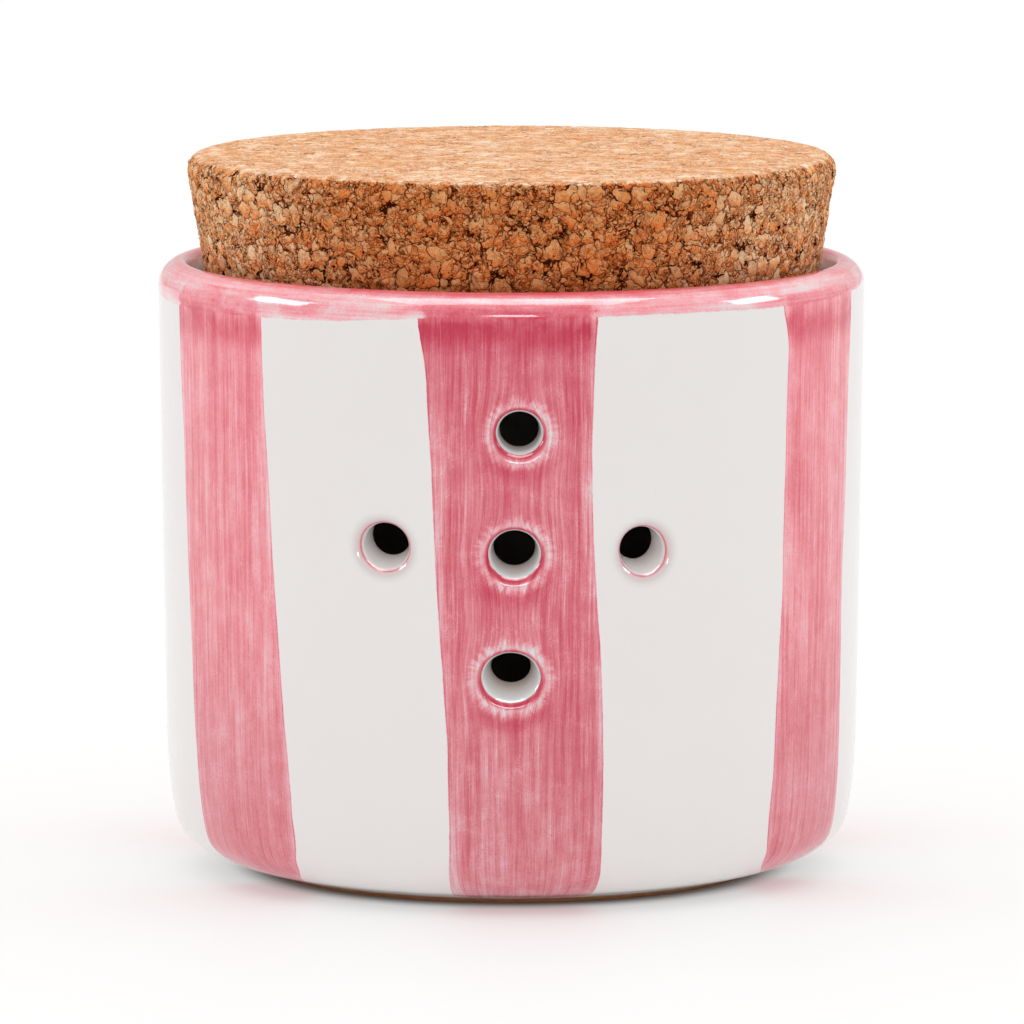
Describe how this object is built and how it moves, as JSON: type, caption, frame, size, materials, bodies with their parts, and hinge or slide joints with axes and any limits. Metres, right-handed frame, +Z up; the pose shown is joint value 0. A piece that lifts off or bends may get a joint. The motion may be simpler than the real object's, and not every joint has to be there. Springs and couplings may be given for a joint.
{
  "type": "garlic keeper",
  "caption": "Round glazed stoneware jar with vent holes in its wall and a tapered cork lid that wedges in the mouth, for keeping garlic bulbs.",
  "frame": {"origin": "centre of the jar's foot, on the surface it stands on", "axes": "+Z up along the jar's axis, -Y towards the side with the vent holes, +X to the right as seen from that side"},
  "size_m": [0.12, 0.12, 0.1219],
  "materials": {
    "glazed_stoneware": "gloss",
    "cork": "matte"
  },
  "bodies": {
    "jar": {"jar": "glazed_stoneware"},
    "lid": {"cork_lid": "cork"}
  },
  "joints": [
    {"name": "lid_lift", "type": "slide", "parent": "jar", "child": "lid", "axis": [0, 0, 1], "range_m": [0, 0.09]}
  ]
}
